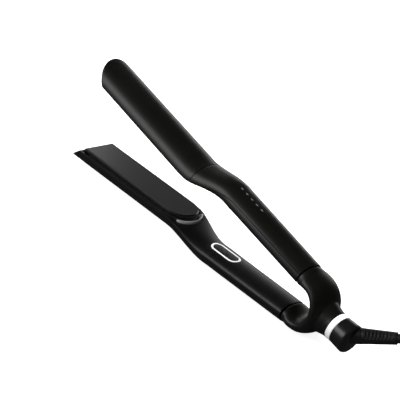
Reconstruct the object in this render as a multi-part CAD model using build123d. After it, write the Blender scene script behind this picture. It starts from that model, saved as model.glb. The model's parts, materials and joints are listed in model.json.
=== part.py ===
"""Flat iron (hair straightener): two sprung arms in a forked yoke, with a swivelling cord.

Each arm is drawn in its own frame: x runs from the hinge to the tip, y across, and z outwards
from the plane where the two plates meet. The lower arm is the upper one mirrored, and each is
then swung open about its own hinge pin. The finished iron lies on the back of its lower handle.
"""
import os
from math import asin, cos, degrees, pi, radians, sin, tan
from build123d import *

# ---- driving dimensions, mm and degrees ----
HALF_OPEN = 6.6                 # each arm's swing from closed to fully open
REST_X = 40.0                   # arm station of the origin, on the back of the lower handle
REST_LEVEL = 21.45              # the flat strip along each handle's back
PIN_X, PIN_Z, PIN_R = -1.0, 13.0, 1.3
KNUCKLE_R, TONGUE_HALF = 2.25, 3.6
ARM_REAR, YOKE_END = 4.0, 3.0   # the 1 mm seam between arm and yoke

BARREL_HALF, BARREL_RIM, BARREL_BACK = 15.4, 2.8, 14.3
HANDLE_HALF, HINGE_HALF = 12.0, 11.2
HANDLE_MID, HANDLE_FACE, HANDLE_BACK = 13.0, 8.0, 21.7
NECK_START, NECK_REAR, NECK_FRONT = 68.0, 76.0, 111.0
SEAM_REAR, SEAM_FRONT, SEAM_HANDLE = 68.0, 112.0, 16.5
TIP_RIM_X, TIP_LEAN = 197.6, 1.13   # the end face leans out by this much x for each mm of z
SHELL_SPLIT = 103.0
WALL, NOSE_WALL, SEAM_GAP = 1.8, 1.5, 0.25

PLATE_WIDE, PLATE_FRONT, PLATE_REAR = 25.0, 195.5, 99.6
PLATE_FACE, PLATE_THICK, PLATE_BEVEL = 0.1, 2.1, 0.7

BUTTON_X, BUTTON_LONG, BUTTON_WIDE = 65.4, 21.0, 7.8
RING_WALL = 1.3

NECK_END, COLLAR_LONG, COLLAR_R = -28.6, 3.9, 9.2
NECK_STATIONS = (
    (-15.0, 11.0, 12.0), (-19.0, 10.8, 11.6), (-23.0, 10.1, 10.3), (-26.5, 9.3, 9.4), (NECK_END, 9.25, 9.25),
)
KNOB_LONG, KNOB_R, SPIGOT_R = 10.4, 9.8, 5.95
BOOT_PIVOT, BOOT_LEAN, BOOT_ROLL = -37.4, 38.0, 45.0
BOOT_START, BOOT_LONG, BOOT_R0, BOOT_R1 = 10.5, 21.0, 4.9, 3.8
BOOT_SLOTS, SLOT_FIRST, SLOT_PITCH, SLOT_WIDE, SLOT_TALL = 8, 2.2, 2.2, 1.1, 6.4
CORD_D = 6.0
HANK_X, HANK_Y, HANK_RUN = -218.3, -12.7, 104.0
HANK_MEAN_R, HANK_WIDE, HANK_TALL, TIE_THICK = 21.1, 12.4, 27.2, 0.8
TIE_X, TIE_LONG = -232.0, 12.0
PLUG_LONG, PLUG_WIDE, PLUG_HALF_TALL, RELIEF_LONG = 24.0, 24.0, 8.0, 14.0
BLADE_LONG, BLADE_Y, PLUG_TURN = 16.0, 6.35, 169.5
CORD_POINTS = ((-145, -32, 36.5), (-166, -37.2, 32.5), (-186, -37.3, 27.5), (-206, -36.85, 24.8))
TAIL_POINTS = (
    (-166.3, -30.7, 21.85), (-179, -30.3, 21.4), (-191.5, -27.6, 18.6),
    (-203, -23.2, 13.4), (-214, -19.4, 9.4), (-225, -17.4, 8.0),
)

MOUTH_GAP, TRIM_WIDE, TRIM_TALL, TRIM_HALF = 0.9, 3.4, 2.4, 11.3
COVER_FRONT = 108.0
RAIL_X0, RAIL_X1, RAIL_END, CRADLE_Z = 112.0, 188.0, 5.2, 6.6
SCREW_X = (124.0, 170.0)
FORK_BEND_X, FORK_LIMB_FACE, FORK_LIMB_BACK, FORK_LIMB_HALF = -4.0, 9.6, 20.3, 12.6
FORK_TURN_FACE, FORK_TURN_BACK, FORK_TURN_HALF, FORK_STEPS = 8.6, 18.8, 14.0, 10
POCKET_REAR, POCKET_LOW, POCKET_HIGH, POCKET_HALF = -3.5, 10.7, 16.6, 6.7
LEAD_CHANNEL_R = 3.0
SPRING_R, SPRING_WIRE, SPRING_LONG, SPRING_START = 1.82, 0.38, 1.9, 4.2

os.makedirs("parts", exist_ok=True)


def smooth(t):
    t = min(max(t, 0.0), 1.0)
    return t * t * (3 - 2 * t)


def box(x0, x1, y0, y1, z0, z1):
    """A box between two corners."""
    size = (x1 - x0, y1 - y0, z1 - z0)
    return Pos((x0 + x1) / 2, (y0 + y1) / 2, (z0 + z1) / 2) * Box(*size)


def rod(x, z, r, y0, y1):
    """A round bar along y."""
    return Pos(x, (y0 + y1) / 2, z) * Rot(90, 0, 0) * Cylinder(r, y1 - y0)


def post(x, y, r, z0, z1):
    """A round bar along z."""
    return Pos(x, y, (z0 + z1) / 2) * Cylinder(r, z1 - z0)


def axle(r, x0, x1, z=0.0, y=0.0):
    """A round bar along x."""
    return Pos((x0 + x1) / 2, y, z) * Rot(0, 90, 0) * Cylinder(r, x1 - x0)


def side_prism(points, half_width):
    """A prism across the arm from a side outline given as (x, z) points."""
    outline = Polyline(*[(x, 0, z) for x, z in points], close=True)
    return extrude(make_face(outline), half_width, dir=(0, 1, 0), both=True)


def pill(long, wide, z0, z1, x=BUTTON_X):
    """An upright pill-shaped prism."""
    return extrude(Pos(x, 0, z0) * SlotOverall(long, wide), z1 - z0)


# ---- arm envelope ----
def arm_section(x, inset=0.0):
    """Half width, widest level, face level and back level of the arm at station x."""
    s = smooth((NECK_FRONT - x) / (NECK_FRONT - NECK_REAR))
    handle = HINGE_HALF + (HANDLE_HALF - HINGE_HALF) * min(x / NECK_REAR, 1.0)
    half = BARREL_HALF + (handle - BARREL_HALF) * s
    mid = BARREL_RIM + (HANDLE_MID - BARREL_RIM) * s
    crown = 0.15 + (HANDLE_MID - HANDLE_FACE - 0.15) * s
    back = BARREL_BACK + (HANDLE_BACK - BARREL_BACK) * s
    return half - inset, mid, mid - max(0.15, crown - inset), back - inset


NECK_STEP = 5.0


def section_plane(x, mid):
    return Plane(origin=(x, 0, mid), x_dir=(0, 1, 0), z_dir=(1, 0, 0))


def seam_level(x):
    return BARREL_RIM + (SEAM_HANDLE - BARREL_RIM) * smooth((SEAM_FRONT - x) / (SEAM_FRONT - SEAM_REAR))


def side_angle(level, mid, height):
    """Where the ellipse of that height reaches a level, in degrees above its widest point."""
    return degrees(asin(min(max((level - mid) / height, 0.0), 0.9)))


def shell_face(x):
    """The outer shell's wall at a station, from seam to seam over the back."""
    half, mid, face, back = arm_section(x)
    tall = back - mid
    out = side_angle(seam_level(x), mid, tall)
    inn = side_angle(seam_level(x), mid, tall - WALL)
    outer = EllipticalCenterArc((0, 0), half, tall, out, arc_size=180 - 2 * out)
    inner = EllipticalCenterArc((0, 0), half - WALL, tall - WALL, inn, arc_size=180 - 2 * inn)
    loop = Wire([outer, Line(outer @ 1, inner @ 1), inner, Line(inner @ 0, outer @ 0)])
    return section_plane(x, mid) * Face(loop)


def cover_face(x):
    """The inner cover's wall at a station, from seam to seam over the face that is held."""
    half, mid, face, back = arm_section(x)
    tall = back - mid
    level = seam_level(x) - SEAM_GAP
    out = max(side_angle(level, mid, tall), 1.5)
    inn = max(side_angle(level, mid, tall - WALL), 2.0)
    depth = (mid - face - WALL) * 1.3
    reach = half - WALL
    right = EllipticalCenterArc((0, 0), half, tall, 0, arc_size=out)
    left = EllipticalCenterArc((0, 0), half, tall, 180 - out, arc_size=out)
    held = EllipticalCenterArc((0, 0), half, mid - face, 180, arc_size=180)
    right_in = EllipticalCenterArc((0, 0), reach, tall - WALL, 0, arc_size=inn)
    left_in = EllipticalCenterArc((0, 0), reach, tall - WALL, 180 - inn, arc_size=inn)
    hidden = Bezier((-reach, 0), (-reach * 0.55, -depth), (reach * 0.55, -depth), (reach, 0))
    right_end = Line(right @ 1, right_in @ 1)
    left_end = Line(left_in @ 0, left @ 0)
    loop = Wire([right, right_end, right_in, hidden, left_in, left_end, left, held])
    return section_plane(x, mid) * Face(loop)


def arm_loft(face_at, x0, x1):
    """A wall lofted between two stations: straight along the handle, smooth through the neck."""
    parts = []
    if x0 < NECK_START:
        parts.append(loft([face_at(x0), face_at(NECK_START)]))
        x0 = NECK_START
    count = max(round((x1 - x0) / NECK_STEP), 2)
    stations = [x0 + (x1 - x0) * i / count for i in range(count + 1)]
    parts.append(loft([face_at(x) for x in stations]))
    return parts[0] if len(parts) == 1 else parts[0] + parts[1]


def tip_cut(back_off=0.0):
    """Everything beyond the leaning end face."""
    top = BARREL_BACK + 6
    x0 = TIP_RIM_X - back_off - TIP_LEAN * 6
    x1 = x0 + TIP_LEAN * (top - BARREL_RIM + 6)
    return side_prism([(x0, BARREL_RIM - 6), (x1, top), (260, top), (260, BARREL_RIM - 6)], 30)


def barrel_solid(x0, x1, inset=0.0):
    """The barrel's half-round section, filled, between two stations."""
    arc = EllipticalCenterArc((0, 0), BARREL_HALF - inset, BARREL_BACK - BARREL_RIM - inset, 0, arc_size=180)
    face = section_plane(x0, BARREL_RIM) * make_face([arc, Line(arc @ 0, arc @ 1)])
    return extrude(face, x1 - x0, dir=(1, 0, 0))


def plate_outline(grow=0.0):
    """The plate's plan: square at the front, half round at the rear."""
    half = PLATE_WIDE / 2 + grow
    front = PLATE_FRONT + grow
    centre = PLATE_REAR + PLATE_WIDE / 2
    face = Pos((front + centre) / 2, 0) * Rectangle(front - centre, 2 * half)
    return face + Pos(centre, 0) * Circle(half)


# ---- one arm's pieces, in the arm's frame ----
def make_barrel_shell():
    wall = arm_loft(shell_face, SHELL_SPLIT + 0.1, 116)
    tube = barrel_solid(116, 216) - barrel_solid(115, TIP_RIM_X + 20, WALL) - tip_cut()
    nose = (barrel_solid(190, 216) - tip_cut()) & tip_cut(NOSE_WALL)
    return wall + tube + nose - screw_holes()


def make_grip_shell():
    shell = arm_loft(shell_face, ARM_REAR, SHELL_SPLIT - 0.1)
    return shell - box(-5, 120, -20, 20, REST_LEVEL, 40)


def trim_blank(grow=0.0):
    """The block behind the plate's round end that becomes the polished crescent."""
    base = Pos(0, 0, BARREL_RIM - 0.2 - 10 * grow)
    ring = extrude(base * plate_outline(TRIM_WIDE + grow), TRIM_TALL + 20 * grow)
    reach = TRIM_HALF + grow
    return ring & box(90, COVER_FRONT - 1.5 + grow, -reach, reach, -5, 20)


def plate_mouth():
    """The opening that the plate floats in."""
    return extrude(Pos(0, 0, -2) * plate_outline(MOUTH_GAP), 9.0)


def make_cover(with_button):
    cover = arm_loft(cover_face, ARM_REAR, COVER_FRONT) - plate_mouth()
    cover = cover - trim_blank(0.05) - make_grip_shell() - arm_loft(shell_face, SHELL_SPLIT + 0.1, 116)
    cover = max(cover.solids(), key=lambda piece: piece.volume)
    if with_button:
        cover -= pill(BUTTON_LONG + 2 * RING_WALL + 0.1, BUTTON_WIDE + 2 * RING_WALL + 0.1, 5, 14)
    return cover


def make_trim():
    """A sloping crescent that falls from the cover to the plate's round rear end."""
    centre = PLATE_REAR + PLATE_WIDE / 2
    top_r = PLATE_WIDE / 2 + TRIM_WIDE
    floor_r = PLATE_WIDE / 2 + MOUTH_GAP
    slope = Pos(centre, 0, BARREL_RIM + TRIM_TALL / 2 - 0.6) * Cone(top_r - 0.3, floor_r, TRIM_TALL)
    return trim_blank() - plate_mouth() - slope


def make_plate():
    """The aluminium plate: bevelled face, round rear end, and two rails that hold the heater."""
    slab = extrude(Pos(0, 0, PLATE_FACE) * plate_outline(), PLATE_THICK)
    face_edges = [e for e in slab.edges() if abs(e.center().Z - PLATE_FACE) < 0.01]
    slab = chamfer(face_edges, PLATE_BEVEL)
    under = PLATE_FACE + PLATE_THICK
    rails = [box(RAIL_X0, RAIL_X1, side * 9.6 - 0.8, side * 9.6 + 0.8, under, RAIL_END) for side in (-1, 1)]
    return slab + rails[0] + rails[1]


def make_heater():
    z0 = PLATE_FACE + PLATE_THICK
    strip = box(RAIL_X0 + 3, RAIL_X1 - 3, -8.7, 8.7, z0, z0 + 1.3)
    tails = [box(RAIL_X0 - 6, RAIL_X0 + 3, y - 0.8, y + 0.8, z0 + 0.4, z0 + 1.0) for y in (-4, 4)]
    return strip + tails[0] + tails[1]


def make_film():
    z0 = PLATE_FACE + PLATE_THICK + 1.3
    return box(RAIL_X0 + 1, RAIL_X1 - 1, -8.7, 8.7, z0, z0 + 0.3)


def make_heater_clip():
    """A sprung steel strip, bowed in waves, that presses the heater to the plate."""
    z0 = PLATE_FACE + PLATE_THICK + 1.6
    clip = box(RAIL_X0 + 2, RAIL_X1 - 2, -8.7, 8.7, z0, z0 + 0.5)
    for i in range(5):
        x = RAIL_X0 + 10 + i * 15
        clip += box(x, x + 7, -8.7, 8.7, z0 + 0.5, z0 + 0.9)
    return clip


def make_cradle():
    """The fixed trough that guides the plate's rails."""
    base = box(RAIL_X0 - 2, RAIL_X1 + 3, -11.2, 11.2, CRADLE_Z, CRADLE_Z + 0.9)
    walls = [box(RAIL_X0 - 2, RAIL_X1 + 3, y - 0.5, y + 0.5, 3.4, CRADLE_Z) for y in (-11.4, 11.4)]
    ribs = [box(x, x + 1.2, -8.0, 8.0, CRADLE_Z + 0.9, 10.2) for x in (116, 136, 156, 176)]
    body = base + walls[0] + walls[1]
    for rib in ribs:
        body += rib
    for x in SCREW_X:
        body -= post(x, 0, 1.5, 5, 12)
    return body & barrel_solid(100, 196, WALL + 0.05)


def make_float_pads():
    """Silicone pads between cradle and rails, squeezed as the plate gives."""
    pads = []
    for x in (118, 150, 182):
        for y in (-9.6, 9.6):
            pads.append(box(x - 4, x + 4, y - 0.9, y + 0.9, RAIL_END, CRADLE_Z))
    return Compound(children=pads)


def make_thermal_fuse():
    z = CRADLE_Z + 0.9 + 1.25
    body = axle(1.25, 140, 150, z, 3.4)
    return body + axle(0.35, 138.2, 140, z, 3.4) + axle(0.35, 150, 154, z, 3.4)


def screw_holes():
    holes = post(SCREW_X[0], 0, 1.15, 5, 30) + post(SCREW_X[1], 0, 1.15, 5, 30)
    return holes & barrel_solid(100, 200, 2.6)


def make_screws():
    """Cradle screws, their heads under the trough and their points in the barrel's back."""
    screws = []
    for x in SCREW_X:
        shank = post(x, 0, 1.1, CRADLE_Z - 0.1, BARREL_BACK - 2.7)
        screws.append(shank + post(x, 0, 1.45, CRADLE_Z - 0.2, CRADLE_Z + 0.85))
    return Compound(children=screws)


def make_hinge_block():
    """The frame in the handle's rear end, with a tongue that the hinge pin passes through."""
    oval = Plane(origin=(ARM_REAR + 0.6, 0, HANDLE_MID), x_dir=(0, 1, 0), z_dir=(1, 0, 0)) * Ellipse(9.1, 6.6)
    block = extrude(oval, 19.4, dir=(1, 0, 0)) & box(0, 30, -7.8, 7.8, 13.0, 19.0)
    block += box(ARM_REAR + 0.6, 24, -4, 4, 10.5, 13.0)
    tongue = box(PIN_X, ARM_REAR + 2, -TONGUE_HALF, TONGUE_HALF, PIN_Z - 1.8, PIN_Z + KNUCKLE_R)
    body = block + tongue + rod(PIN_X, PIN_Z, KNUCKLE_R, -TONGUE_HALF, TONGUE_HALF)
    body -= rod(PIN_X, PIN_Z, PIN_R + 0.04, -5, 5)
    return body - axle(1.6, 6, 30, 15.5, 5.0) - axle(1.6, 6, 30, 15.5, -5.0)


def make_spring():
    """Torsion spring around the pin, one coil group each side of the tongue."""
    coils = []
    for side in (-1, 1):
        start = SPRING_START if side > 0 else -SPRING_START - SPRING_LONG
        path = Helix(pitch=SPRING_LONG / 2, height=SPRING_LONG, radius=SPRING_R)
        wire = sweep(Plane(origin=path @ 0, z_dir=path % 0) * Circle(SPRING_WIRE), path)
        coils.append(Pos(PIN_X, start, PIN_Z) * Rot(-90, 0, 0) * wire)
    return Compound(children=coils)


def make_leads():
    """Two heater leads from the plate's rear end to the hinge block."""
    leads = []
    for y in (-5.0, 5.0):
        points = [(104, 0.8 * y, 6.4), (96, y, 9.8), (84, y, 14.2), (72, y, 17.0)]
        points += [(50, y, 17.2), (30, y, 16.4), (24.2, y, 15.5)]
        path = FilletPolyline(*points, radius=[6, 8, 12, 30, 12])
        leads.append(sweep(Plane(origin=path @ 0, z_dir=path % 0) * Circle(0.75), path))
    return Compound(children=leads)


def make_board():
    """The control board in the lower handle, with its parts on the back side."""
    board = box(32, 76, -7.6, 7.6, 12.6, 13.8)
    for x, y, l, w, h in ((40, -3, 8, 6, 1.6), (50, 3, 6, 5, 1.2), (66, 0, 7, 7, 1.4), (58, -4, 4, 3, 1.0)):
        board += box(x, x + l, y - w / 2, y + w / 2, 13.8, 13.8 + h)
    return board


def make_switch():
    return box(BUTTON_X - 3, BUTTON_X + 3, -3, 3, 11.0, 12.6) + post(BUTTON_X, 0, 1.6, 10.6, 11.0)


def arm_fill():
    """The filled handle around the button, to cut the button and its ring flush with the cover."""
    def face_at(x):
        half, mid, face, back = arm_section(x)
        held = EllipticalCenterArc((0, 0), half, mid - face, 180, arc_size=180)
        return section_plane(x, mid) * Face(Wire([held, Line(held @ 1, held @ 0)]))
    rear = loft([face_at(x) for x in (48, 53, 58, 63, 68)])
    return rear + loft([face_at(x) for x in (68, 71, 74, 77, 80, 83)])


def make_button(fill):
    cap = pill(BUTTON_LONG - 0.3, BUTTON_WIDE - 0.3, 6, 9.6) & Pos(0, 0, 0.15) * fill
    return cap + post(BUTTON_X, 0, 1.5, 9.0, 10.55 - 0.5)


def make_light_ring(fill):
    outer = pill(BUTTON_LONG + 2 * RING_WALL, BUTTON_WIDE + 2 * RING_WALL, 6, 10.4)
    return (outer - pill(BUTTON_LONG, BUTTON_WIDE, 5, 11)) & fill


# ---- yoke, swivel and cord, in the closed iron's frame ----
def mix(a, b, share):
    return a + (b - a) * share


def fork_face(plane, half, face, back):
    """The fork's oval across a plane: a flatter side inwards and a rounder back."""
    mid = face + 0.42 * (back - face)
    outer = EllipticalCenterArc((0, mid), half, back - mid, 0, arc_size=180)
    inner = EllipticalCenterArc((0, mid), half, mid - face, 180, arc_size=180)
    return plane * Face(Wire([outer, inner]))


def make_fork():
    """One sweep-like loft: out of one arm's seam, round the turn, and back to the other."""
    lead_in = []
    for x in (YOKE_END, mix(YOKE_END, FORK_BEND_X, 0.5)):
        share = smooth((YOKE_END - x) / (YOKE_END - FORK_BEND_X))
        half = mix(HINGE_HALF - 0.2, FORK_LIMB_HALF, share)
        back = mix(HANDLE_BACK - 0.3, FORK_LIMB_BACK, share)
        lead_in.append((x, half, mix(HANDLE_FACE, FORK_LIMB_FACE, share), back))
    faces = []
    for x, half, face, back in lead_in:
        plane = Plane(origin=(x, 0, 0), x_dir=(0, 1, 0), z_dir=(1, 0, 0))
        faces.append(fork_face(plane, half, face, back))
    for i in range(FORK_STEPS + 1):
        angle = pi * i / FORK_STEPS
        share = sin(angle) ** 2
        plane = Plane(origin=(FORK_BEND_X, 0, 0), x_dir=(0, 1, 0), z_dir=(cos(angle), 0, sin(angle)))
        half = mix(FORK_LIMB_HALF, FORK_TURN_HALF, share)
        face = mix(FORK_LIMB_FACE, FORK_TURN_FACE, share)
        faces.append(fork_face(plane, half, face, mix(FORK_LIMB_BACK, FORK_TURN_BACK, share)))
    for x, half, face, back in reversed(lead_in):
        plane = Plane(origin=(x, 0, 0), x_dir=(0, 1, 0), z_dir=(-1, 0, 0))
        faces.append(fork_face(plane, half, face, back))
    return loft(faces)


def make_yoke():
    """A one-piece fork with a round neck, and a spigot that the swivel turns on."""
    faces = []
    for x, half_y, half_z in NECK_STATIONS:
        faces.append(Plane(origin=(x, 0, 0), x_dir=(0, 1, 0), z_dir=(1, 0, 0)) * Ellipse(half_y, half_z))
    spigot = axle(SPIGOT_R, NECK_END - 10.9, NECK_END + 1)
    spigot -= axle(7, NECK_END - 9.9, NECK_END - 8.9) - axle(4.9, NECK_END - 10, NECK_END - 8.8)
    body = make_fork() + loft(faces) + spigot
    body -= axle(LEAD_CHANNEL_R, -45, -16)
    for side in (-1, 1):
        pocket = box(POCKET_REAR, 5, -POCKET_HALF, POCKET_HALF, POCKET_LOW, POCKET_HIGH)
        body -= pocket if side > 0 else mirror(pocket, about=Plane.XY)
        body -= rod(PIN_X, side * PIN_Z, PIN_R, -10.2, 10.2)
    return body


def make_pin():
    return rod(PIN_X, PIN_Z, PIN_R, -10.2, 10.2)


def make_collar():
    return axle(COLLAR_R, NECK_END - COLLAR_LONG, NECK_END) - axle(SPIGOT_R, NECK_END - 10, NECK_END + 1)


def boot_plane(distance):
    """A plane across the boot at a distance from where its axis leaves the swivel's axis."""
    lean, roll = radians(BOOT_LEAN), radians(BOOT_ROLL)
    aim = (-cos(lean), -sin(lean) * cos(roll), sin(lean) * sin(roll))
    origin = [BOOT_PIVOT + aim[0] * distance, aim[1] * distance, aim[2] * distance]
    side = Vector(*aim).cross(Vector(1, 0, 0)).normalized()
    return Plane(origin=origin, x_dir=side, z_dir=aim)


def make_knob():
    """The turning elbow: a short barrel around the spigot, and a socket for the boot."""
    x0 = NECK_END - COLLAR_LONG - 0.2
    x1 = x0 - KNOB_LONG
    outline = [(x0, 0), (x0, COLLAR_R - 0.1), (x1 + 1.6, KNOB_R)]
    outline += [(x1 + 0.4, KNOB_R - 0.6), (x1, KNOB_R - 1.8), (x1, 0)]
    profile = make_face(Polyline(*[(x, 0, r) for x, r in outline], close=True))
    body = revolve(profile, Axis.X)
    socket = extrude(boot_plane(0) * Circle(BOOT_R0 + 0.5), BOOT_START, taper=2.0)
    body += socket
    body -= axle(SPIGOT_R + 0.05, x0 - 4.2, x0 + 1)
    body -= axle(7.6, x1 + 1.8, x0 - 4.1)
    return body - extrude(boot_plane(4) * Circle(3.3), BOOT_START)


def make_clip_ring():
    x = NECK_END - 9.85
    ring = axle(7.0, x, x + 0.8) - axle(4.95, x - 1, x + 2)
    return ring - box(x - 1, x + 2, 0, 9, -1.6, 1.6)


def make_boot():
    """The tapered strain relief, with slots between two smooth rails."""
    start = BOOT_START
    body = loft([boot_plane(start) * Circle(BOOT_R0), boot_plane(start + BOOT_LONG) * Circle(BOOT_R1)])
    body -= extrude(boot_plane(start - 1) * Circle(CORD_D / 2), BOOT_LONG - 3)
    for i in range(BOOT_SLOTS):
        at = boot_plane(start + SLOT_FIRST + i * SLOT_PITCH)
        for side in (-1, 1):
            body -= extrude(at * Pos(side * 4.4, 0) * Rectangle(2.2, SLOT_TALL), SLOT_WIDE)
    return body


# ---- the free cord, on the resting surface, in the resting frame ----
def cord_route(exit_point, aim):
    """Centre line points of the cord from the boot to the hank."""
    x, y, z = exit_point
    first = [(x, y, z), (x + aim[0] * 16, y + aim[1] * 16, z + aim[2] * 16)]
    return first + [tuple(p) for p in CORD_POINTS]


def cord_tube(points):
    """A round tube along straight runs joined by arcs as large as the runs allow."""
    vectors = [Vector(*p) for p in points]
    radii = []
    for a, b, c in zip(vectors, vectors[1:], vectors[2:]):
        turn = (b - a).get_angle(c - b)
        shorter = min((b - a).length, (c - b).length)
        radii.append(0.45 * shorter / tan(radians(turn) / 2))
    runs = [(b - a).length for a, b in zip(vectors, vectors[1:])]
    print("cord runs", [round(r) for r in runs], "radii", [round(r) for r in radii])
    path = FilletPolyline(*points, radius=radii)
    tube = sweep(Plane(origin=path @ 0, z_dir=path % 0) * Circle(CORD_D / 2), path)
    ratio = tube.volume / (path.length * pi * CORD_D ** 2 / 4)
    print("cord tube length", round(path.length), "volume ratio", round(ratio, 4))
    return tube


def make_hank():
    """The outer shape of the put-away turns: an upright ring with two straight sides."""
    rings = []
    for r in (HANK_MEAN_R + HANK_WIDE / 2, HANK_MEAN_R - HANK_WIDE / 2):
        rings.append(extrude(SlotOverall(HANK_RUN + 2 * r, 2 * r), HANK_TALL))
    ring = rings[0] - rings[1]
    flat_edges = ring.edges().group_by(Axis.Z)
    ring = fillet(flat_edges[0] + flat_edges[-1], 2.5)
    return Pos(HANK_X, HANK_Y, TIE_THICK) * ring


def make_tie(hank):
    """A hook-and-loop strap around one side of the hank."""
    size = (TIE_LONG, HANK_WIDE + 2 * TIE_THICK, HANK_TALL + 2 * TIE_THICK)
    block = Pos(TIE_X, HANK_Y + HANK_MEAN_R, size[2] / 2) * Box(*size)
    block = fillet(block.edges().filter_by(Axis.X), 2.5)
    return block - hank


def plug_frame():
    """Where the plug lies: its strain relief starts at the tail's last point."""
    x, y, z = TAIL_POINTS[-1]
    return Pos(x, y, z) * Rot(0, 0, PLUG_TURN) * Pos(RELIEF_LONG, 0, 0)


def make_plug_body(tail):
    body = Pos(PLUG_LONG / 2, 0, 0) * Box(PLUG_LONG, PLUG_WIDE, 2 * PLUG_HALF_TALL)
    body = fillet(body.edges().filter_by(Axis.X), 4.0)
    body = chamfer(body.faces().sort_by(Axis.X)[0].edges(), 2.0)
    relief = Pos(-RELIEF_LONG / 2, 0, 0) * Rot(0, -90, 0) * Cone(4.6, 3.6, RELIEF_LONG)
    return plug_frame() * (body + relief) - tail


def make_plug_blades():
    x = PLUG_LONG + BLADE_LONG / 2
    blades = [Pos(x, y, 0) * Box(BLADE_LONG, 1.5, 6.3) for y in (-BLADE_Y, BLADE_Y)]
    return plug_frame() * Compound(children=blades)


# ---- assembly in the resting frame ----
def swing(shape, x, z, angle):
    """Turn about a line across the iron; a positive angle raises the tip."""
    return shape.rotate(Axis((x, 0, z), (0, 1, 0)), -angle)


def rest_frame(shape):
    """From the closed iron's frame to the frame in which the lower arm lies level."""
    shape = swing(shape, PIN_X, -PIN_Z, HALF_OPEN)
    return shape.moved(Location((-REST_X, 0, REST_LEVEL)))


def upper(shape):
    return rest_frame(swing(shape, PIN_X, PIN_Z, HALF_OPEN))


def lower(shape):
    return rest_frame(swing(mirror(shape, about=Plane.XY), PIN_X, -PIN_Z, -HALF_OPEN))


def save(name, shape):
    solids = shape.solids()
    whole = solids[0] if len(solids) == 1 else Compound(children=list(solids))
    export_step(whole, f"parts/{name}.step")


def rest_point(x, y, z):
    """A point of the closed iron's frame, in the resting frame."""
    corner = rest_frame(Pos(x, y, z) * Sphere(0.5)).center()
    return (corner.X, corner.Y, corner.Z)


def main():
    fill = arm_fill()
    arm_makers = {
        "barrel_shell": make_barrel_shell, "grip_shell": make_grip_shell, "plate_trim": make_trim,
        "heating_plate": make_plate, "heater": make_heater, "insulation_film": make_film,
        "heater_clip": make_heater_clip, "plate_cradle": make_cradle, "float_pads": make_float_pads,
        "thermal_fuse": make_thermal_fuse, "cradle_screws": make_screws, "hinge_block": make_hinge_block,
        "hinge_spring": make_spring, "heater_leads": make_leads,
    }
    for name, make in arm_makers.items():
        shape = make()
        save("upper_" + name, upper(shape))
        save("lower_" + name, lower(shape))
    save("upper_inner_cover", upper(make_cover(False)))
    save("lower_inner_cover", lower(make_cover(True)))
    save("control_board", lower(make_board()))
    save("power_switch", lower(make_switch()))
    save("power_button", lower(make_button(fill)))
    save("button_light_ring", lower(make_light_ring(fill)))

    pin = make_pin()
    save("upper_hinge_pin", rest_frame(pin))
    save("lower_hinge_pin", rest_frame(mirror(pin, about=Plane.XY)))
    for name, make in {"yoke": make_yoke, "neck_collar": make_collar, "swivel_knob": make_knob,
                       "swivel_clip": make_clip_ring, "cord_boot": make_boot}.items():
        save(name, rest_frame(make()))

    end = boot_plane(BOOT_START + BOOT_LONG)
    exit_point = rest_point(*end.origin)
    further = rest_point(*(end.origin + end.z_dir))
    aim = [b - a for a, b in zip(exit_point, further)]
    print("cord exit", [round(v, 2) for v in exit_point], "aim", [round(v, 3) for v in aim])
    lead = cord_tube(cord_route(exit_point, aim))
    tail = cord_tube(TAIL_POINTS)
    save("plug_body", make_plug_body(tail))
    save("cord", Compound(children=[lead, tail]))
    hank = make_hank()
    save("cord_hank", hank)
    save("cord_tie", make_tie(hank))
    save("plug_blades", make_plug_blades())


main()
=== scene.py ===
import json
from math import cos, degrees, pi, radians, sin
import bmesh
import bpy
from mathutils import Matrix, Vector


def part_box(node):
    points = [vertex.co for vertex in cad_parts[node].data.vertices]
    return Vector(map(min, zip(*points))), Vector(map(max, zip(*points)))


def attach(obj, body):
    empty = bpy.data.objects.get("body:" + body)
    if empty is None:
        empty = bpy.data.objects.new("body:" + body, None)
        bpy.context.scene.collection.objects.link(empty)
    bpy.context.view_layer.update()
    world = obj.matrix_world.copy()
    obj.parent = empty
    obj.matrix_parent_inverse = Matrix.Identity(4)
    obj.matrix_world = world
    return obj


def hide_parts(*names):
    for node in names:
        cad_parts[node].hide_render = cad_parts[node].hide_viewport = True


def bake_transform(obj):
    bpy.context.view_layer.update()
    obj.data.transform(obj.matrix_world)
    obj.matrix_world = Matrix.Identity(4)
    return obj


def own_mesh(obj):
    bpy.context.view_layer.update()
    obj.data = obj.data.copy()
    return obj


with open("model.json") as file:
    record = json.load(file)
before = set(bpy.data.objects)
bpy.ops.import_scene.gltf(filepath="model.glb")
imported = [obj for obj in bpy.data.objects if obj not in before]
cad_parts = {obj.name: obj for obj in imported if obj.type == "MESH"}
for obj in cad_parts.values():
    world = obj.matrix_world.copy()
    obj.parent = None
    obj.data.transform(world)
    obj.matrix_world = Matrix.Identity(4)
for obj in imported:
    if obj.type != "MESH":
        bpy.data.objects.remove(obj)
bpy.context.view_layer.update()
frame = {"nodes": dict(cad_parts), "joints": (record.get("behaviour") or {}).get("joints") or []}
scene = bpy.context.scene
mm = 0.001

# where the two hinge pins stand, and how far the arms are open, all from the frame
pinLow = sum(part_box("lower_hinge_pin"), Vector()) / 2
pinHigh = sum(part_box("upper_hinge_pin"), Vector()) / 2
openAngle = 2 * radians(max(j["range_deg"][1] for j in frame["joints"] if "range_deg" in j))
pinStation = {"x": -1.0, "z": 13.0}   # the pin in an arm's own drawing, mm


def armPoint(side, x, y, z):
    # an arm's own drawing: x from hinge to tip, y across, z outward from the plates, mm
    dx, dz = (x - pinStation["x"]) * mm, (z - pinStation["z"]) * mm
    if side == "lower":
        return pinLow + Vector((dx, y * mm, -dz))
    c, s = cos(openAngle), sin(openAngle)
    return pinHigh + Vector((dx * c - dz * s, y * mm, dx * s + dz * c))


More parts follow.
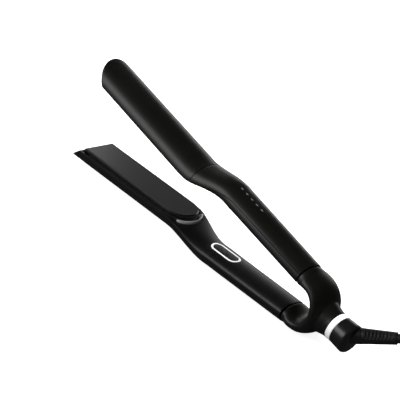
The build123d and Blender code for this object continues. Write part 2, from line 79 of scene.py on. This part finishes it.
cameraView = {
    "place": (-0.53722, 0.7445, 0.50984),
    "turn": (62.4885, -14.6588, -133.8508),
    "lens": 149.45,
}


def makeCamera():
    data = bpy.data.cameras.new("studioCamera")
    data.lens = cameraView["lens"]
    data.sensor_width = 36.0
    data.clip_end = 20.0
    camera = bpy.data.objects.new("studioCamera", data)
    camera.location = cameraView["place"]
    camera.rotation_euler = [radians(a) for a in cameraView["turn"]]
    scene.collection.objects.link(camera)
    scene.camera = camera
    print("camera in place")


makeCamera()


def newGroup(name, inputs, outputs):
    group = bpy.data.node_groups.new(name, "ShaderNodeTree")
    for socketName, kind, value in inputs:
        socket = group.interface.new_socket(socketName, in_out="INPUT", socket_type=kind)
        if value is not None:
            socket.default_value = value
    for socketName, kind in outputs:
        group.interface.new_socket(socketName, in_out="OUTPUT", socket_type=kind)
    return group, group.nodes.new("NodeGroupInput"), group.nodes.new("NodeGroupOutput")


def makeGrainGroup():
    # fine moulded grain: a height, and a roughness that wanders a little
    group, ins, outs = newGroup(
        "moldedGrain",
        [("Vector", "NodeSocketVector", None), ("Grain Size", "NodeSocketFloat", 900.0),
         ("Roughness", "NodeSocketFloat", 0.45), ("Spread", "NodeSocketFloat", 0.06)],
        [("Height", "NodeSocketFloat"), ("Roughness", "NodeSocketFloat")])
    link = group.links.new
    grain = group.nodes.new("ShaderNodeTexNoise")
    grain.inputs["Detail"].default_value = 3.0
    link(ins.outputs["Vector"], grain.inputs["Vector"])
    link(ins.outputs["Grain Size"], grain.inputs["Scale"])
    cloud = group.nodes.new("ShaderNodeTexNoise")
    cloud.inputs["Scale"].default_value = 38.0
    cloud.inputs["Detail"].default_value = 5.0
    link(ins.outputs["Vector"], cloud.inputs["Vector"])
    centred = group.nodes.new("ShaderNodeMath")
    centred.operation = "SUBTRACT"
    centred.inputs[1].default_value = 0.5
    link(cloud.outputs["Fac"], centred.inputs[0])
    scaled = group.nodes.new("ShaderNodeMath")
    scaled.operation = "MULTIPLY_ADD"
    link(centred.outputs[0], scaled.inputs[0])
    link(ins.outputs["Spread"], scaled.inputs[1])
    link(ins.outputs["Roughness"], scaled.inputs[2])
    link(grain.outputs["Fac"], outs.inputs["Height"])
    link(scaled.outputs[0], outs.inputs["Roughness"])
    return group


def makeHandlingGroup():
    # colour that is a touch lighter where hands and benches have rubbed it
    group, ins, outs = newGroup(
        "handlingWear",
        [("Vector", "NodeSocketVector", None), ("Base", "NodeSocketColor", (0.01, 0.01, 0.01, 1)),
         ("Worn", "NodeSocketColor", (0.03, 0.03, 0.03, 1)), ("Amount", "NodeSocketFloat", 0.35)],
        [("Color", "NodeSocketColor")])
    link = group.links.new
    rub = group.nodes.new("ShaderNodeTexNoise")
    rub.inputs["Scale"].default_value = 24.0
    rub.inputs["Detail"].default_value = 6.0
    rub.inputs["Roughness"].default_value = 0.62
    link(ins.outputs["Vector"], rub.inputs["Vector"])
    ramp = group.nodes.new("ShaderNodeMapRange")
    ramp.inputs["From Min"].default_value = 0.42
    ramp.inputs["From Max"].default_value = 0.78
    link(rub.outputs["Fac"], ramp.inputs["Value"])
    amount = group.nodes.new("ShaderNodeMath")
    amount.operation = "MULTIPLY"
    link(ramp.outputs["Result"], amount.inputs[0])
    link(ins.outputs["Amount"], amount.inputs[1])
    blend = group.nodes.new("ShaderNodeMix")
    blend.data_type = "RGBA"
    link(amount.outputs[0], blend.inputs["Factor"])
    link(ins.outputs["Base"], blend.inputs["A"])
    link(ins.outputs["Worn"], blend.inputs["B"])
    link(blend.outputs["Result"], outs.inputs["Color"])
    return group


grainGroup = makeGrainGroup()
handlingGroup = makeHandlingGroup()


def makeFinish(name, base, worn, rough, spread=0.06, grain=900.0, bump=0.08, bumpDepth=0.02,
               wear=0.35, metallic=0.0, coat=0.0, coatRough=0.1, sheen=0.0, glow=0.0):
    material = bpy.data.materials.new(name)
    material.use_nodes = True
    nodes, link = material.node_tree.nodes, material.node_tree.links.new
    shader = nodes["Principled BSDF"]
    place = nodes.new("ShaderNodeTexCoord")
    molded = nodes.new("ShaderNodeGroup")
    molded.node_tree = grainGroup
    molded.inputs["Grain Size"].default_value = grain
    molded.inputs["Roughness"].default_value = rough
    molded.inputs["Spread"].default_value = spread
    handled = nodes.new("ShaderNodeGroup")
    handled.node_tree = handlingGroup
    handled.inputs["Base"].default_value = (*base, 1)
    handled.inputs["Worn"].default_value = (*worn, 1)
    handled.inputs["Amount"].default_value = wear
    link(place.outputs["Object"], molded.inputs["Vector"])
    link(place.outputs["Object"], handled.inputs["Vector"])
    relief = nodes.new("ShaderNodeBump")
    relief.inputs["Strength"].default_value = bump
    relief.inputs["Distance"].default_value = bumpDepth * mm
    link(molded.outputs["Height"], relief.inputs["Height"])
    link(molded.outputs["Roughness"], shader.inputs["Roughness"])
    link(handled.outputs["Color"], shader.inputs["Base Color"])
    link(relief.outputs["Normal"], shader.inputs["Normal"])
    shader.inputs["Metallic"].default_value = metallic
    shader.inputs["Coat Weight"].default_value = coat
    shader.inputs["Coat Roughness"].default_value = coatRough
    shader.inputs["Sheen Weight"].default_value = sheen
    shader.inputs["Emission Color"].default_value = (*base, 1)
    shader.inputs["Emission Strength"].default_value = glow
    return material


armBlack = makeFinish("armWarmBlack", (0.0029, 0.0027, 0.0020), (0.0054, 0.0052, 0.0042), 0.42, bump=0.5)
coverBlack = makeFinish("coverNeutralBlack", (0.0028, 0.0028, 0.0029), (0.0054, 0.0054, 0.0057), 0.45,
                        bump=0.6)
yokeBlack = makeFinish("yokeBlack", (0.0028, 0.0026, 0.0022), (0.0054, 0.0052, 0.0044), 0.44, bump=0.5)
plateCoat = makeFinish("plateCeramicCoat", (0.0048, 0.0048, 0.0052), (0.008, 0.008, 0.009), 0.3, spread=0.04,
                       grain=2600.0, bump=0.15)
# the polished trim's light grey is partly its own colour and partly a painted reflection: the bright base
# stands in for the light its glossy bevel catches
crescentPaintedSheenGrey = makeFinish("polishedCrescentPaintedSheen", (0.62, 0.62, 0.63), (0.7, 0.7, 0.71), 0.24, bump=0.1,
                          metallic=0.35, coat=0.4)
ringWhite = makeFinish("lightRingWhite", (0.95, 0.95, 0.95), (0.9, 0.9, 0.91), 0.3, bump=0.1, wear=0.1,
                       glow=0.5)
# the neck collar's emission is a painted glow: it is no lamp, and the glow only makes its white read
# brighter
collarPaintedGlowWhite = makeFinish("collarGlossWhitePaintedGlow", (0.95, 0.95, 0.95), (0.9, 0.9, 0.91), 0.22, bump=0.1, wear=0.1,
                         coat=0.5, glow=0.3)
knobBlack = makeFinish("knobSatinBlack", (0.0046, 0.0046, 0.005), (0.01, 0.01, 0.0105), 0.3, bump=0.3)
buttonBlack = makeFinish("buttonTextured", (0.006, 0.006, 0.0065), (0.016, 0.016, 0.017), 0.46, grain=2200.0,
                         bump=1.0, bumpDepth=0.06)
markGrey = makeFinish("softMark", (0.13, 0.13, 0.135), (0.2, 0.2, 0.205), 0.5, bump=0.2)
bootRubber = makeFinish("bootRubber", (0.0048, 0.0048, 0.005), (0.011, 0.011, 0.0115), 0.48, bump=0.6)
cordRubber = makeFinish("cordSheath", (0.0048, 0.0048, 0.005), (0.010, 0.010, 0.0105), 0.44, bump=0.5)
strapCloth = makeFinish("strapCloth", (0.010, 0.010, 0.011), (0.022, 0.022, 0.024), 0.85, grain=1600.0,
                        bump=1.0, bumpDepth=0.08, sheen=0.5)
stitchThread = makeFinish("stitchThread", (0.06, 0.06, 0.062), (0.1, 0.1, 0.105), 0.8, grain=3000.0,
                          bump=0.8)
plugBlack = makeFinish("plugMoldedBlack", (0.006, 0.006, 0.0065), (0.014, 0.014, 0.015), 0.48, bump=0.8)
brassMetal = makeFinish("bladeBrass", (0.72, 0.56, 0.30), (0.60, 0.46, 0.24), 0.28, metallic=1.0, bump=0.2)
zincSteel = makeFinish("platedSteel", (0.55, 0.55, 0.56), (0.42, 0.41, 0.40), 0.32, metallic=1.0, bump=0.4)
springSteel = makeFinish("springSteel", (0.32, 0.32, 0.34), (0.20, 0.20, 0.21), 0.35, metallic=1.0, bump=0.3)
heatResin = makeFinish("heatResin", (0.02, 0.018, 0.016), (0.035, 0.032, 0.03), 0.6, bump=0.8)
siliconePad = makeFinish("siliconePad", (0.42, 0.11, 0.06), (0.5, 0.17, 0.1), 0.55, bump=0.5, sheen=0.2)
heaterCeramic = makeFinish("heaterCeramic", (0.78, 0.76, 0.71), (0.62, 0.6, 0.55), 0.6, bump=0.8)
amberFilm = makeFinish("amberFilm", (0.45, 0.19, 0.03), (0.35, 0.13, 0.02), 0.2, bump=0.2, coat=0.5)
leadSleeve = makeFinish("leadSleeve", (0.68, 0.66, 0.6), (0.5, 0.48, 0.43), 0.75, grain=1500.0, bump=1.0,
                        bumpDepth=0.08, sheen=0.3)
boardGreen = makeFinish("boardGreen", (0.012, 0.10, 0.035), (0.02, 0.15, 0.06), 0.38, bump=0.4, coat=0.3)

nodeFinish = {
    "barrel_shell": armBlack, "grip_shell": armBlack, "inner_cover": coverBlack, "plate_trim": crescentPaintedSheenGrey,
    "heating_plate": plateCoat, "heater": heaterCeramic, "insulation_film": amberFilm,
    "heater_clip": springSteel, "plate_cradle": heatResin, "float_pads": siliconePad,
    "thermal_fuse": zincSteel, "cradle_screws": zincSteel, "hinge_block": heatResin,
    "hinge_spring": springSteel, "hinge_pin": zincSteel, "heater_leads": leadSleeve,
    "control_board": boardGreen, "power_switch": zincSteel, "power_button": buttonBlack,
    "button_light_ring": ringWhite, "yoke": yokeBlack, "neck_collar": collarPaintedGlowWhite,
    "swivel_knob": knobBlack, "swivel_clip": zincSteel, "cord_boot": bootRubber,
    "plug_body": plugBlack, "plug_blades": brassMetal, "cord_tie": strapCloth,
}


def finishFrameNodes():
    for name, node in frame["nodes"].items():
        plain = name.removeprefix("upper_").removeprefix("lower_")
        if plain in nodeFinish:
            node.data.materials.clear()
            node.data.materials.append(nodeFinish[plain])
    print("frame nodes finished")


finishFrameNodes()

softEdges = {
    # node: body, slot, rounding in mm
    "upper_barrel_shell": ("upper_arm", "arm_shell", 0.3),
    "lower_barrel_shell": ("lower_arm", "arm_shell", 0.3),
    "upper_grip_shell": ("upper_arm", "arm_shell", 0.3),
    "lower_grip_shell": ("lower_arm", "arm_shell", 0.3),
    "upper_inner_cover": ("upper_arm", "inner_cover", 0.35),
    "lower_inner_cover": ("lower_arm", "inner_cover", 0.35),
    "upper_plate_trim": ("upper_arm", "polished_trim", 0.12),
    "lower_plate_trim": ("lower_arm", "polished_trim", 0.12),
    "button_light_ring": ("lower_arm", "light_ring", 0.35),
    "neck_collar": ("yoke", "white_collar", 0.4),
    "swivel_knob": ("cord_swivel", "knob", 0.4),
    "cord_boot": ("cord_swivel", "boot", 0.22),
    "cord_tie": ("yoke", "tie_strap", 0.3),
    "plug_body": ("yoke", "plug", 0.3),
    "plug_blades": ("yoke", "plug_metal", 0.5),
}
edgeRound = {"segments": 3, "angle": 35, "merge": 0.002}   # merge in mm
yokeBlend = {"voxel": 0.38, "rounds": 16, "strength": 0.5}


def mergedCopy(nodeName, name):
    node = frame["nodes"][nodeName]
    shape = bmesh.new()
    shape.from_mesh(node.data)
    bmesh.ops.remove_doubles(shape, verts=shape.verts, dist=edgeRound["merge"] * mm)
    mesh = bpy.data.meshes.new(name)
    shape.to_mesh(mesh)
    shape.free()
    mesh.materials.append(node.data.materials[0])
    piece = bpy.data.objects.new(name, mesh)
    scene.collection.objects.link(piece)
    return piece


def softenEdges():
    for nodeName, (body, slotName, width) in softEdges.items():
        piece = mergedCopy(nodeName, nodeName + "_soft")
        piece.data.shade_smooth()
        bevel = piece.modifiers.new("edgeRound", "BEVEL")
        bevel.width = width * mm
        bevel.segments = edgeRound["segments"]
        bevel.limit_method = "ANGLE"
        bevel.angle_limit = radians(edgeRound["angle"])
        bevel.harden_normals = True
        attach(piece, body)
        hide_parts(nodeName)
    print("edges softened on", len(softEdges), "pieces")


def makeYoke():
    # the fork and neck flow into each other, so their skin is relaxed as one
    piece = mergedCopy("yoke", "forked_yoke")
    skin = piece.modifiers.new("oneSkin", "REMESH")
    skin.mode = "VOXEL"
    skin.voxel_size = yokeBlend["voxel"] * mm
    skin.use_smooth_shade = True
    relax = piece.modifiers.new("relax", "SMOOTH")
    relax.factor = yokeBlend["strength"]
    relax.iterations = yokeBlend["rounds"]
    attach(piece, "yoke")
    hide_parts("yoke")
    print("yoke blended")


def makeRowTree():
    # a row of soft lozenges, each the same size and turned the same way
    tree = bpy.data.node_groups.new("lozengeRow", "GeometryNodeTree")
    tree.interface.new_socket("Geometry", in_out="OUTPUT", socket_type="NodeSocketGeometry")
    for socketName, kind in (("Count", "Int"), ("Start", "Vector"), ("Step", "Vector"), ("Size", "Vector"),
                             ("Turn", "Rotation"), ("Finish", "Material")):
        tree.interface.new_socket(socketName, in_out="INPUT", socket_type="NodeSocket" + kind)
    ins, outs = tree.nodes.new("NodeGroupInput"), tree.nodes.new("NodeGroupOutput")
    link = tree.links.new
    line = tree.nodes.new("GeometryNodeMeshLine")
    link(ins.outputs["Count"], line.inputs["Count"])
    link(ins.outputs["Start"], line.inputs["Start Location"])
    link(ins.outputs["Step"], line.inputs["Offset"])
    lozenge = tree.nodes.new("GeometryNodeMeshUVSphere")
    lozenge.inputs["Segments"].default_value = 16
    lozenge.inputs["Rings"].default_value = 8
    lozenge.inputs["Radius"].default_value = 0.5   # one unit across, so that Size is its real size
    spread = tree.nodes.new("GeometryNodeInstanceOnPoints")
    link(line.outputs["Mesh"], spread.inputs["Points"])
    link(lozenge.outputs["Mesh"], spread.inputs["Instance"])
    link(ins.outputs["Size"], spread.inputs["Scale"])
    link(ins.outputs["Turn"], spread.inputs["Rotation"])
    real = tree.nodes.new("GeometryNodeRealizeInstances")
    paint = tree.nodes.new("GeometryNodeSetMaterial")
    smooth = tree.nodes.new("GeometryNodeSetShadeSmooth")
    link(spread.outputs["Instances"], real.inputs["Geometry"])
    link(real.outputs["Geometry"], smooth.inputs["Geometry"])
    link(smooth.outputs["Geometry"], paint.inputs["Geometry"])
    link(ins.outputs["Finish"], paint.inputs["Material"])
    link(paint.outputs["Geometry"], outs.inputs["Geometry"])
    return tree


rowTree = makeRowTree()


def makeRow(name, start, step, count, size, turn, finish, body):
    piece = bpy.data.objects.new(name, bpy.data.meshes.new(name))
    scene.collection.objects.link(piece)
    modifier = piece.modifiers.new("row", "NODES")
    modifier.node_group = rowTree
    values = {"Count": count, "Start": [v * mm for v in start], "Step": [v * mm for v in step],
              "Size": [v * mm for v in size], "Turn": [radians(v) for v in turn], "Finish": finish}
    for socket in rowTree.interface.items_tree:
        if socket.in_out == "INPUT":
            modifier[socket.identifier] = values[socket.name]
    bpy.context.view_layer.update()
    mesh = bpy.data.meshes.new_from_object(piece.evaluated_get(bpy.context.evaluated_depsgraph_get()))
    piece.modifiers.remove(modifier)
    piece.data = mesh
    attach(piece, body)
    return piece


stitches = {
    # start and step in mm, count, size of each in mm
    "tie_stitches_a": ((-236.9, 15.4, 3.6), (0, 0, 1.9), 12, (0.24, 0.16, 1.3)),
    "tie_stitches_b": ((-227.1, 15.4, 3.6), (0, 0, 1.9), 12, (0.24, 0.16, 1.3)),
    "tie_stitches_c": ((-236.9, 3.8, 28.85), (0, 1.9, 0), 5, (0.24, 1.3, 0.16)),
    "tie_stitches_d": ((-227.1, 3.8, 28.85), (0, 1.9, 0), 5, (0.24, 1.3, 0.16)),
}
plugGrip = {"from": 4.0, "pitch": 2.6, "count": 6, "size": (0.9, 13.0, 0.7), "top": 8.0, "under": -7.64,
            "turn": 169.5, "relief": 14.0}
gripDots = {"x": 54.0, "y": 1.2, "level": 21.45, "pitch": 5.0, "count": 5, "size": (2.2, 1.1, 0.22)}


def makeRows():
    # what lies on the cord's own pieces is returned by name
    made = []
    for name, (start, step, count, size) in stitches.items():
        row = makeRow(name, start, step, count, size, (0, 0, 0), stitchThread, "yoke")
        made.append(row.name)
    turn = radians(plugGrip["turn"])
    ahead = Vector((cos(turn), sin(turn), 0))
    tailEnd = Vector(cordRoute["tail"][-1])
    for side in ("top", "under"):
        start = tailEnd + ahead * (plugGrip["relief"] + plugGrip["from"])
        start.z += plugGrip[side]
        row = makeRow("plug_grip_" + side, start, ahead * plugGrip["pitch"], plugGrip["count"],
                      plugGrip["size"], (0, 0, plugGrip["turn"]), plugBlack, "yoke")
        made.append(row.name)
    base = [armPoint("upper", gripDots["x"] + along, gripDots["y"], gripDots["level"])
            for along in (0, gripDots["pitch"])]
    makeRow("grip_dots", base[0] / mm, (base[1] - base[0]) / mm, gripDots["count"], gripDots["size"],
            (0, -degrees(openAngle), 0), markGrey, "upper_arm")
    print("rows made", len(made) + 1)
    return made


mouthLiner = {"centre": 112.1, "inner": 8.0, "outer": 13.25, "near": 3.5, "far": 4.0, "steps": 40}


def makeMouthLiners():
    # a dark floor under the round end of each plate, so that nothing shows through the gap
    for side in ("upper", "lower"):
        corners, faces = [], []
        for i in range(mouthLiner["steps"] + 1):
            angle = pi / 2 + pi * i / mouthLiner["steps"]
            for radius, level in (("inner", "near"), ("outer", "near"), ("outer", "far"), ("inner", "far")):
                r = mouthLiner[radius]
                corners.append(armPoint(side, mouthLiner["centre"] + r * cos(angle), r * sin(angle),
                                        mouthLiner[level]))
        for i in range(mouthLiner["steps"]):
            for k in range(4):
                a, b = 4 * i + k, 4 * i + (k + 1) % 4
                faces.append((a, b, b + 4, a + 4))
        faces += [(3, 2, 1, 0), tuple(4 * mouthLiner["steps"] + k for k in range(4))]
        mesh = bpy.data.meshes.new(side + "_mouth_liner")
        mesh.from_pydata(corners, [], faces)
        shape = bmesh.new()
        shape.from_mesh(mesh)
        bmesh.ops.recalc_face_normals(shape, faces=shape.faces)
        shape.to_mesh(mesh)
        shape.free()
        mesh.materials.append(heatResin)
        piece = bpy.data.objects.new(side + "_mouth_liner", mesh)
        scene.collection.objects.link(piece)
        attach(piece, side + "_arm")
    print("mouth liners in place")


powerMark = {"x": 65.4, "level": 8.1, "radius": 1.55, "gap": 38.0, "wire": 0.14, "stem": (0.25, 1.85),
             "steps": 28}


def makePowerMark():
    # an open ring and a short stem, raised a hair on the button
    curve = bpy.data.curves.new("powerMark", "CURVE")
    curve.dimensions = "3D"
    steps, gap = powerMark["steps"], radians(powerMark["gap"])
    ring = curve.splines.new("POLY")
    ring.points.add(steps - 1)
    for i, spot in enumerate(ring.points):
        angle = gap + (2 * pi - 2 * gap) * i / (steps - 1)
        place = armPoint("lower", powerMark["x"] + powerMark["radius"] * cos(angle),
                         powerMark["radius"] * sin(angle), powerMark["level"])
        spot.co = (*place, 1)
    stem = curve.splines.new("POLY")
    stem.points.add(1)
    for spot, along in zip(stem.points, powerMark["stem"]):
        spot.co = (*armPoint("lower", powerMark["x"] + along, 0, powerMark["level"]), 1)
    curve.bevel_depth = powerMark["wire"] * mm
    curve.bevel_resolution = 3
    curve.use_fill_caps = True
    drawn = bpy.data.objects.new("powerMarkLine", curve)
    scene.collection.objects.link(drawn)
    bpy.context.view_layer.update()
    mesh = bpy.data.meshes.new_from_object(drawn.evaluated_get(bpy.context.evaluated_depsgraph_get()))
    bpy.data.objects.remove(drawn)
    mesh.shade_smooth()
    mesh.materials.append(markGrey)
    piece = bpy.data.objects.new("power_mark", mesh)
    scene.collection.objects.link(piece)
    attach(piece, "button")
    print("power mark on the button")


padSquash = {"keep": 0.29, "station": 150.0, "cradle": 6.6, "rounding": 0.18}


def makePads():
    for side in ("upper", "lower"):
        piece = mergedCopy(side + "_float_pads", side + "_soft_pads")
        shape = bmesh.new()
        shape.from_mesh(piece.data)
        bmesh.ops.bevel(shape, geom=shape.edges[:], offset=padSquash["rounding"] * mm, segments=2,
                        affect="EDGES")
        shape.to_mesh(piece.data)
        shape.free()
        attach(piece, side + "_arm")
        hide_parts(side + "_float_pads")
        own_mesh(piece)


softenEdges()
makeYoke()
makeMouthLiners()
makePowerMark()
makePads()

cordRoute = {
    "diameter": 6.0,
    "aim": (-0.833, -0.435, 0.342),
    "exit": (-104.89, -13.71, 27.95),
    "bendsUntil": (-138.0, -13.71, 27.95),   # straight back from the exit, short of the hank
    "start": 16.0,
    "points": ((-145, -32, 36.5), (-166, -37.2, 32.5), (-186, -37.3, 27.5), (-206, -36.85, 24.8)),
    "tail": ((-166.3, -30.7, 21.85), (-179, -30.3, 21.4), (-191.5, -27.6, 18.6),
             (-203, -23.2, 13.4), (-214, -19.4, 9.4), (-225, -17.4, 8.0)),
}
hank = {
    "centre": (-218.3, -12.7), "run": 104.0, "innerRadius": 18.0, "columnStep": 6.15,
    "floor": 3.85, "rise": 6.0, "outerTurns": 3.5, "shiftTurns": 0.5, "innerTurns": 3.0,
    "runSteps": 4, "bendSteps": 6,
}


def hankPoint(turns, radius, height):
    # 0 is where the run on the far side starts, and the cord first goes away from the iron
    cx, cy = hank["centre"]
    half = hank["run"] / 2
    runShare = 0.5 * hank["runSteps"] / (hank["runSteps"] + hank["bendSteps"])
    part = turns % 1.0
    side = 1.0 if part < 0.5 else -1.0
    part = part % 0.5
    if part <= runShare:
        x, y = half - hank["run"] * part / runShare, -radius
    else:
        bend = pi * (part - runShare) / (0.5 - runShare)
        x, y = -half - radius * sin(bend), -radius * cos(bend)
    return (cx + side * x, cy + side * y, height)


def hankTurns(first):
    # down the outer column, across on the floor, then up the inner column
    outer, shift, inner = hank["outerTurns"], hank["shiftTurns"], hank["innerTurns"]
    steps = 2 * (hank["runSteps"] + hank["bendSteps"])
    points = []
    for i in range(int(round(first * steps)) + 1, int(round((outer + shift + inner) * steps))):
        turns = i / steps
        across = min(max((turns - outer) / shift, 0.0), 1.0)
        radius = hank["innerRadius"] + hank["columnStep"] * (1.0 - across)
        level = max(outer - turns, turns - outer - shift, 0.0)
        points.append(hankPoint(turns, radius, hank["floor"] + hank["rise"] * level))
    return points


def makeCord():
    exitPoint = cordRoute["exit"]
    first = tuple(e + a * cordRoute["start"] for e, a in zip(exitPoint, cordRoute["aim"]))
    joins = (hank["centre"][0] + hank["run"] / 2 - cordRoute["points"][-1][0]) / hank["run"]
    turns = hankTurns(0.5 * joins * hank["runSteps"] / (hank["runSteps"] + hank["bendSteps"]))
    route = [exitPoint, first, *cordRoute["points"], *turns, *cordRoute["tail"]]
    curve = bpy.data.curves.new("mainsCord", "CURVE")
    curve.dimensions = "3D"
    spline = curve.splines.new("NURBS")
    spline.points.add(len(route) - 1)
    for spot, point in zip(spline.points, route):
        spot.co = (point[0] * mm, point[1] * mm, point[2] * mm, 1.0)
    spline.order_u = 3
    spline.use_endpoint_u = True
    spline.resolution_u = 6
    curve.materials.append(cordRubber)
    cord = bpy.data.objects.new("mains_cord", curve)
    scene.collection.objects.link(cord)
    line = bpy.data.meshes.new_from_object(cord.evaluated_get(bpy.context.evaluated_depsgraph_get()))
    curve.bevel_depth = cordRoute["diameter"] / 2 * mm
    curve.bevel_resolution = 5
    curve.use_fill_caps = True
    bpy.context.view_layer.update()
    tube = bpy.data.meshes.new_from_object(cord.evaluated_get(bpy.context.evaluated_depsgraph_get()))
    bpy.data.objects.remove(cord)
    cord = bpy.data.objects.new("mains_cord", tube)
    scene.collection.objects.link(cord)
    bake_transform(cord)
    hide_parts("cord", "cord_hank")
    makeRows()


makeCord()

studio = {
    "floorSize": 6.0, "floorColour": (0.9, 0.9, 0.9), "floorUnseen": (0.06, 0.06, 0.06),
    "floorGlow": 0.86, "backdrop": 1.0, "ambient": 0.022,
}
lamps = {
    # name: place, aim, width, height, power, whether gloss shows it
    "overheadFill": ((-0.1, 0.2, 1.4), (0.02, 0.0, 0.03), 1.6, 1.6, 30.0, False),
    "frontBox": ((0.55, 0.93, 0.5), (0.02, 0.0, 0.03), 1.0, 0.62, 7.0, True),
    "backBox": ((0.94, -0.42, 0.28), (0.94, 1.0, 0.28), 0.8, 0.34, 1.4, True),
    "lowBackStrip": ((0.24, -0.42, 0.095), (0.24, 1.0, 0.095), 0.5, 0.14, 0.42, True),
}


def makeStudio():
    mesh = bpy.data.meshes.new("studioFloor")
    s = studio["floorSize"]
    mesh.from_pydata([(-s, -s, 0), (s, -s, 0), (s, s, 0), (-s, s, 0)], [], [(0, 1, 2, 3)])
    floor = bpy.data.objects.new("studioFloor", mesh)
    scene.collection.objects.link(floor)
    material = bpy.data.materials.new("paleFloor")
    material.use_nodes = True
    nodes, link = material.node_tree.nodes, material.node_tree.links.new
    shader = nodes["Principled BSDF"]
    shader.inputs["Roughness"].default_value = 0.9
    shader.inputs["Emission Color"].default_value = (1, 1, 1, 1)
    seen = nodes.new("ShaderNodeLightPath")
    glow = nodes.new("ShaderNodeMath")
    glow.operation = "MULTIPLY"
    glow.inputs[1].default_value = studio["floorGlow"]
    link(seen.outputs["Is Camera Ray"], glow.inputs[0])
    link(glow.outputs[0], shader.inputs["Emission Strength"])
    shade = nodes.new("ShaderNodeMix")
    shade.data_type = "RGBA"
    shade.inputs["A"].default_value = (*studio["floorUnseen"], 1)   # what the iron's gloss sees of it
    shade.inputs["B"].default_value = (*studio["floorColour"], 1)
    link(seen.outputs["Is Camera Ray"], shade.inputs["Factor"])
    link(shade.outputs["Result"], shader.inputs["Base Color"])
    mesh.materials.append(material)
    world = bpy.data.worlds.new("studioWorld")
    world.use_nodes = True
    nodes, link = world.node_tree.nodes, world.node_tree.links.new
    background = nodes["Background"]
    background.inputs["Color"].default_value = (1, 1, 1, 1)
    seen = nodes.new("ShaderNodeLightPath")
    level = nodes.new("ShaderNodeMapRange")
    level.inputs["To Min"].default_value = studio["ambient"]
    level.inputs["To Max"].default_value = studio["backdrop"]
    link(seen.outputs["Is Camera Ray"], level.inputs["Value"])
    link(level.outputs["Result"], background.inputs["Strength"])
    scene.world = world
    for name, (place, aim, wide, tall, power, glossy) in lamps.items():
        data = bpy.data.lights.new(name, "AREA")
        data.shape = "RECTANGLE"
        data.size = wide
        data.size_y = tall
        data.energy = power
        lamp = bpy.data.objects.new(name, data)
        lamp.location = place
        lamp.rotation_euler = (Vector(aim) - Vector(place)).to_track_quat("-Z", "Y").to_euler()
        lamp.visible_glossy = glossy
        lamp.visible_camera = False
        scene.collection.objects.link(lamp)
    scene.view_settings.view_transform = "Standard"
    print("studio lit")


makeStudio()
